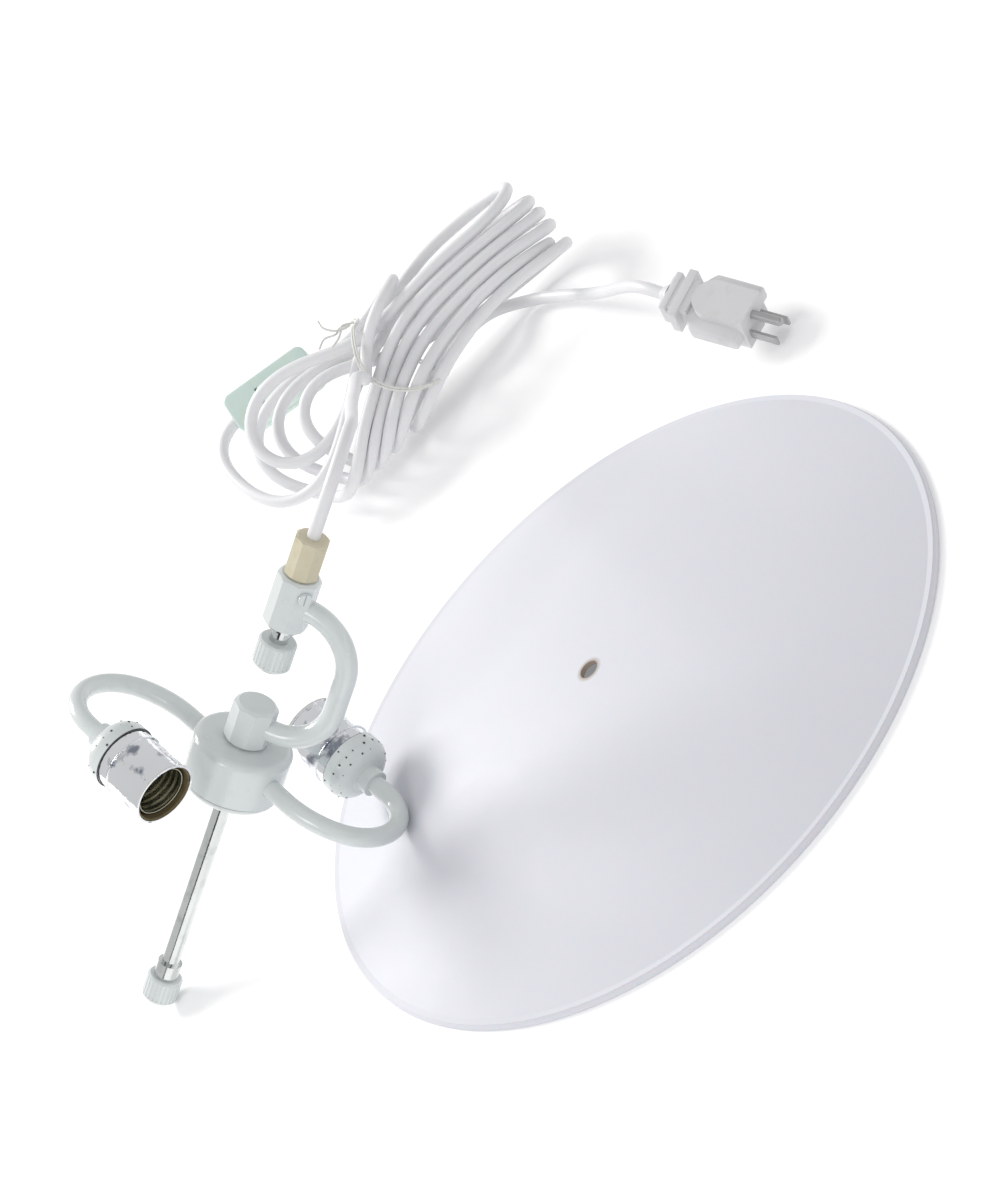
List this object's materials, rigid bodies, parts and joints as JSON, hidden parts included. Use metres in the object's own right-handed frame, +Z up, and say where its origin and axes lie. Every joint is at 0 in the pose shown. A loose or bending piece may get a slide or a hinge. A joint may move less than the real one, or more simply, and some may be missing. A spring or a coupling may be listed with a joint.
{
  "type": "plug-in lamp socket kit with diffuser",
  "caption": "Plug-in lamp kit laid out on a floor: hub with curved arms and open sockets, C bow, centre rod, corded switch and plug, and a dished diffuser.",
  "frame": {"origin": "middle of the kit's own box without its cord, on the floor it lies on", "axes": "+Z up from the floor, +X across the kit, from the end knob towards the plug"},
  "size_m": [0.4878, 0.6117, 0.1946],
  "materials": {
    "white_enamel": "gloss",
    "chrome": "polished",
    "ivory_plastic": "satin",
    "zinc_steel": "satin",
    "wire_cap_plastic": "satin",
    "liner_board": "matt",
    "shell_brass": "satin",
    "phenolic": "matt",
    "diffuser_acrylic": "satin",
    "cord_vinyl": "satin",
    "tie_plastic": "satin",
    "plug_plastic": "satin",
    "pin_steel": "satin",
    "switch_plastic": "satin",
    "rocker_plastic": "satin"
  },
  "bodies": {
    "fixture": {"cord_bushing": "ivory_plastic", "bow_sleeve": "white_enamel", "c_bow": "white_enamel", "shade_stud": "chrome", "stud_washer": "chrome", "hub_block": "white_enamel", "hub_shell": "white_enamel", "hub_saucer": "white_enamel", "hub_stem": "zinc_steel", "stem_nuts": "zinc_steel", "wire_caps": "wire_cap_plastic", "centre_rod": "chrome", "rod_collar": "chrome", "diffuser": "diffuser_acrylic", "cord_lead": "cord_vinyl", "cord_hank": "cord_vinyl", "hank_tie": "tie_plastic", "cord_tail": "cord_vinyl", "plug_body": "plug_plastic", "plug_blades": "pin_steel", "plug_earth_pin": "pin_steel", "switch_case": "switch_plastic", "switch_base": "switch_plastic"},
    "left_arm": {"arm_left": "white_enamel", "arm_return_left": "white_enamel", "arm_nipple_left": "white_enamel", "arm_nut_left": "zinc_steel", "socket_cap_left": "white_enamel", "socket_shell_left": "chrome", "socket_liner_left": "liner_board", "screw_shell_left": "shell_brass", "socket_base_left": "phenolic", "centre_contact_left": "shell_brass"},
    "right_arm": {"arm_right": "white_enamel", "arm_return_right": "white_enamel", "arm_nipple_right": "white_enamel", "arm_nut_right": "zinc_steel", "socket_cap_right": "white_enamel", "socket_shell_right": "chrome", "socket_liner_right": "liner_board", "screw_shell_right": "shell_brass", "socket_base_right": "phenolic", "centre_contact_right": "shell_brass"},
    "stud_nut": {"cap_nut": "white_enamel"},
    "end_knob": {"finial": "white_enamel"},
    "set_screw": {"sleeve_screw": "white_enamel"},
    "rocker": {"switch_rocker": "rocker_plastic"}
  },
  "joints": [
    {"name": "left_arm_swivel", "type": "hinge", "parent": "fixture", "child": "left_arm", "pos_m": [-0.10639, 0.09336, 0.09225], "axis": [-0.0267, 0.8905, 0.4542], "range_deg": [-25, 25]},
    {"name": "right_arm_swivel", "type": "hinge", "parent": "fixture", "child": "right_arm", "pos_m": [-0.10639, 0.09336, 0.09225], "axis": [0.0267, -0.8905, -0.4542], "range_deg": [0, 25]},
    {"name": "stud_nut_turn", "type": "hinge", "parent": "fixture", "child": "stud_nut", "pos_m": [-0.04652, 0.0739, 0.13392], "axis": [0.7931, -0.2577, 0.5519], "continuous": true},
    {"name": "end_knob_turn", "type": "hinge", "parent": "fixture", "child": "end_knob", "pos_m": [-0.21742, 0.12943, 0.01498], "axis": [0.7931, -0.2577, 0.5519], "continuous": true},
    {"name": "set_screw_turn", "type": "hinge", "parent": "fixture", "child": "set_screw", "pos_m": [-0.02197, 0.05767, 0.15086], "axis": [-0.2032, -0.9661, -0.1591], "continuous": true},
    {"name": "rocker_tilt", "type": "hinge", "parent": "fixture", "child": "rocker", "pos_m": [0.044, 0.40047, 0.0462], "axis": [0.225, 0.7464, 0.6263], "range_deg": [-7, 7]}
  ]
}
